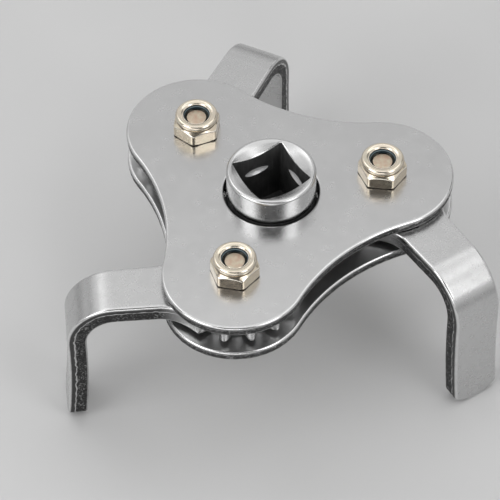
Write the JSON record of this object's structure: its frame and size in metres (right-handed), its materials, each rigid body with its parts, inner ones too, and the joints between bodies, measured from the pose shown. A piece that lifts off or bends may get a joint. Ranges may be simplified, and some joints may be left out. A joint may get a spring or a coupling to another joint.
{
  "type": "oil filter wrench",
  "caption": "Geared oil filter wrench: a square-drive hub between lobed plates swings bent jaws together to grip a filter's side from either direction.",
  "frame": {"origin": "centre of the drive socket's floor, on the drive axis, 16 mm below the hub's rim", "axes": "+Z along the drive axis, out of the socket's mouth; -Y towards pivot 1, with pivots 2 and 3 at 120 degrees anticlockwise from it and from each other"},
  "size_m": [0.094, 0.0978, 0.0463],
  "materials": {
    "satin_nickel": "bead-blasted nickel plate on pressed steel, satin, with brighter rounded edges",
    "forged_nickel": "bead-blasted nickel plate on bent steel bar, satin faces and darker rough sheared sides",
    "machined_steel": "satin nickel plate over turned steel, bright rim, dark inside the socket",
    "yellow_zinc": "yellow zinc plate, glossy, pale gold with bronze shadows",
    "plain_steel": "plain steel washers, lightly oiled",
    "blue_nylon": "dark blue nylon locking ring"
  },
  "bodies": {
    "frame": {"top_plate": "satin_nickel", "bottom_plate": "satin_nickel", "pivot_bolt_1": "yellow_zinc", "lock_nut_1": "yellow_zinc", "nylon_insert_1": "blue_nylon", "upper_shim_1": "plain_steel", "lower_washer_1": "plain_steel", "pivot_bolt_2": "yellow_zinc", "lock_nut_2": "yellow_zinc", "nylon_insert_2": "blue_nylon", "upper_shim_2": "plain_steel", "lower_washer_2": "plain_steel", "pivot_bolt_3": "yellow_zinc", "lock_nut_3": "yellow_zinc", "nylon_insert_3": "blue_nylon", "upper_shim_3": "plain_steel", "lower_washer_3": "plain_steel"},
    "drive": {"drive_gear": "machined_steel"},
    "jaw_1": {"jaw_1": "forged_nickel"},
    "jaw_2": {"jaw_2": "forged_nickel"},
    "jaw_3": {"jaw_3": "forged_nickel"}
  },
  "joints": [
    {"name": "drive_spin", "type": "hinge", "parent": "frame", "child": "drive", "pos_m": [0, 0, 0], "axis": [0, 0, 1], "range_deg": [-163, 35]},
    {"name": "jaw_1_swing", "type": "hinge", "parent": "frame", "child": "jaw_1", "pos_m": [0, -0.02538, 0], "axis": [0, 0, 1], "range_deg": [-38, 175]},
    {"name": "jaw_2_swing", "type": "hinge", "parent": "frame", "child": "jaw_2", "pos_m": [0.02198, 0.01269, 0], "axis": [0, 0, 1], "range_deg": [-38, 175]},
    {"name": "jaw_3_swing", "type": "hinge", "parent": "frame", "child": "jaw_3", "pos_m": [-0.02198, 0.01269, 0], "axis": [0, 0, 1], "range_deg": [-38, 175]}
  ],
  "couplings": [
    {"joint": "jaw_1_swing", "follows": "drive_spin", "ratio": -1.0714},
    {"joint": "jaw_2_swing", "follows": "drive_spin", "ratio": -1.0714},
    {"joint": "jaw_3_swing", "follows": "drive_spin", "ratio": -1.0714}
  ]
}
